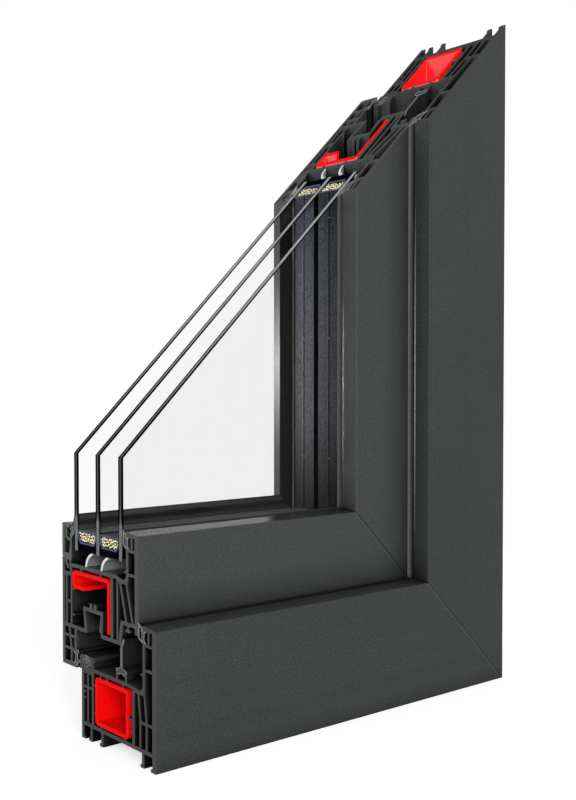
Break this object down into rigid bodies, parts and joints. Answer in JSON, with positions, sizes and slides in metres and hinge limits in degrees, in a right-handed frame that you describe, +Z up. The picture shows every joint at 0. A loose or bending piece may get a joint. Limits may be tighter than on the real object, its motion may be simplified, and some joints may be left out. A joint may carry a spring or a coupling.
{
  "type": "window corner sample",
  "caption": "Cut-open lower corner of a plastic window: multi-chamber frame and sash with mitred corner, steel cores, seals, glazing bead and insulating glass.",
  "frame": {"origin": "centre of the footprint, on the plane of the frame's feet", "axes": "+X from the left cut towards the outer side of the jamb, +Y from the weather side towards the room, +Z up"},
  "size_m": [0.255, 0.0902, 0.4028],
  "materials": {
    "frame_pvc": "dark anthracite foil with a fine grain; sawn faces a little lighter",
    "sash_pvc": "dark anthracite foil with a fine grain; sawn faces a little lighter",
    "bead_pvc": "dark anthracite foil with a fine grain; sawn faces a little lighter",
    "red_steel": "red paint, satin",
    "gasket": "grey, matte",
    "fin": "grey with light cut edges",
    "glass": "clear float glass",
    "spacer": "dark blue-grey, satin",
    "desiccant": "loose beige beads, matte",
    "edge_sealant": "black, matte"
  },
  "bodies": {
    "root": {"frame_rail": "frame_pvc", "frame_jamb": "frame_pvc", "sash_rail": "sash_pvc", "sash_stile": "sash_pvc", "glazing_bead_rail": "bead_pvc", "glazing_bead_stile": "bead_pvc", "frame_rail_steel": "red_steel", "frame_jamb_steel": "red_steel", "sash_rail_steel": "red_steel", "sash_stile_steel": "red_steel", "frame_rail_outer_gasket": "gasket", "frame_jamb_outer_gasket": "gasket", "frame_rail_centre_gasket": "gasket", "frame_jamb_centre_gasket": "gasket", "frame_rail_groove_strip": "gasket", "frame_jamb_groove_strip": "gasket", "sash_rail_overlap_gasket": "gasket", "sash_stile_overlap_gasket": "gasket", "sash_rail_glazing_gasket": "gasket", "sash_stile_glazing_gasket": "gasket", "bead_gasket_rail": "gasket", "bead_gasket_stile": "gasket", "rebate_fins_rail": "fin", "rebate_fins_stile": "fin", "pane_outer": "glass", "pane_middle": "glass", "pane_inner": "glass", "spacer_outer_rail": "spacer", "desiccant_outer_rail": "desiccant", "edge_seal_outer_rail": "edge_sealant", "spacer_outer_stile": "spacer", "desiccant_outer_stile": "desiccant", "edge_seal_outer_stile": "edge_sealant", "spacer_inner_rail": "spacer", "desiccant_inner_rail": "desiccant", "edge_seal_inner_rail": "edge_sealant", "spacer_inner_stile": "spacer", "desiccant_inner_stile": "desiccant", "edge_seal_inner_stile": "edge_sealant"}
  },
  "joints": []
}
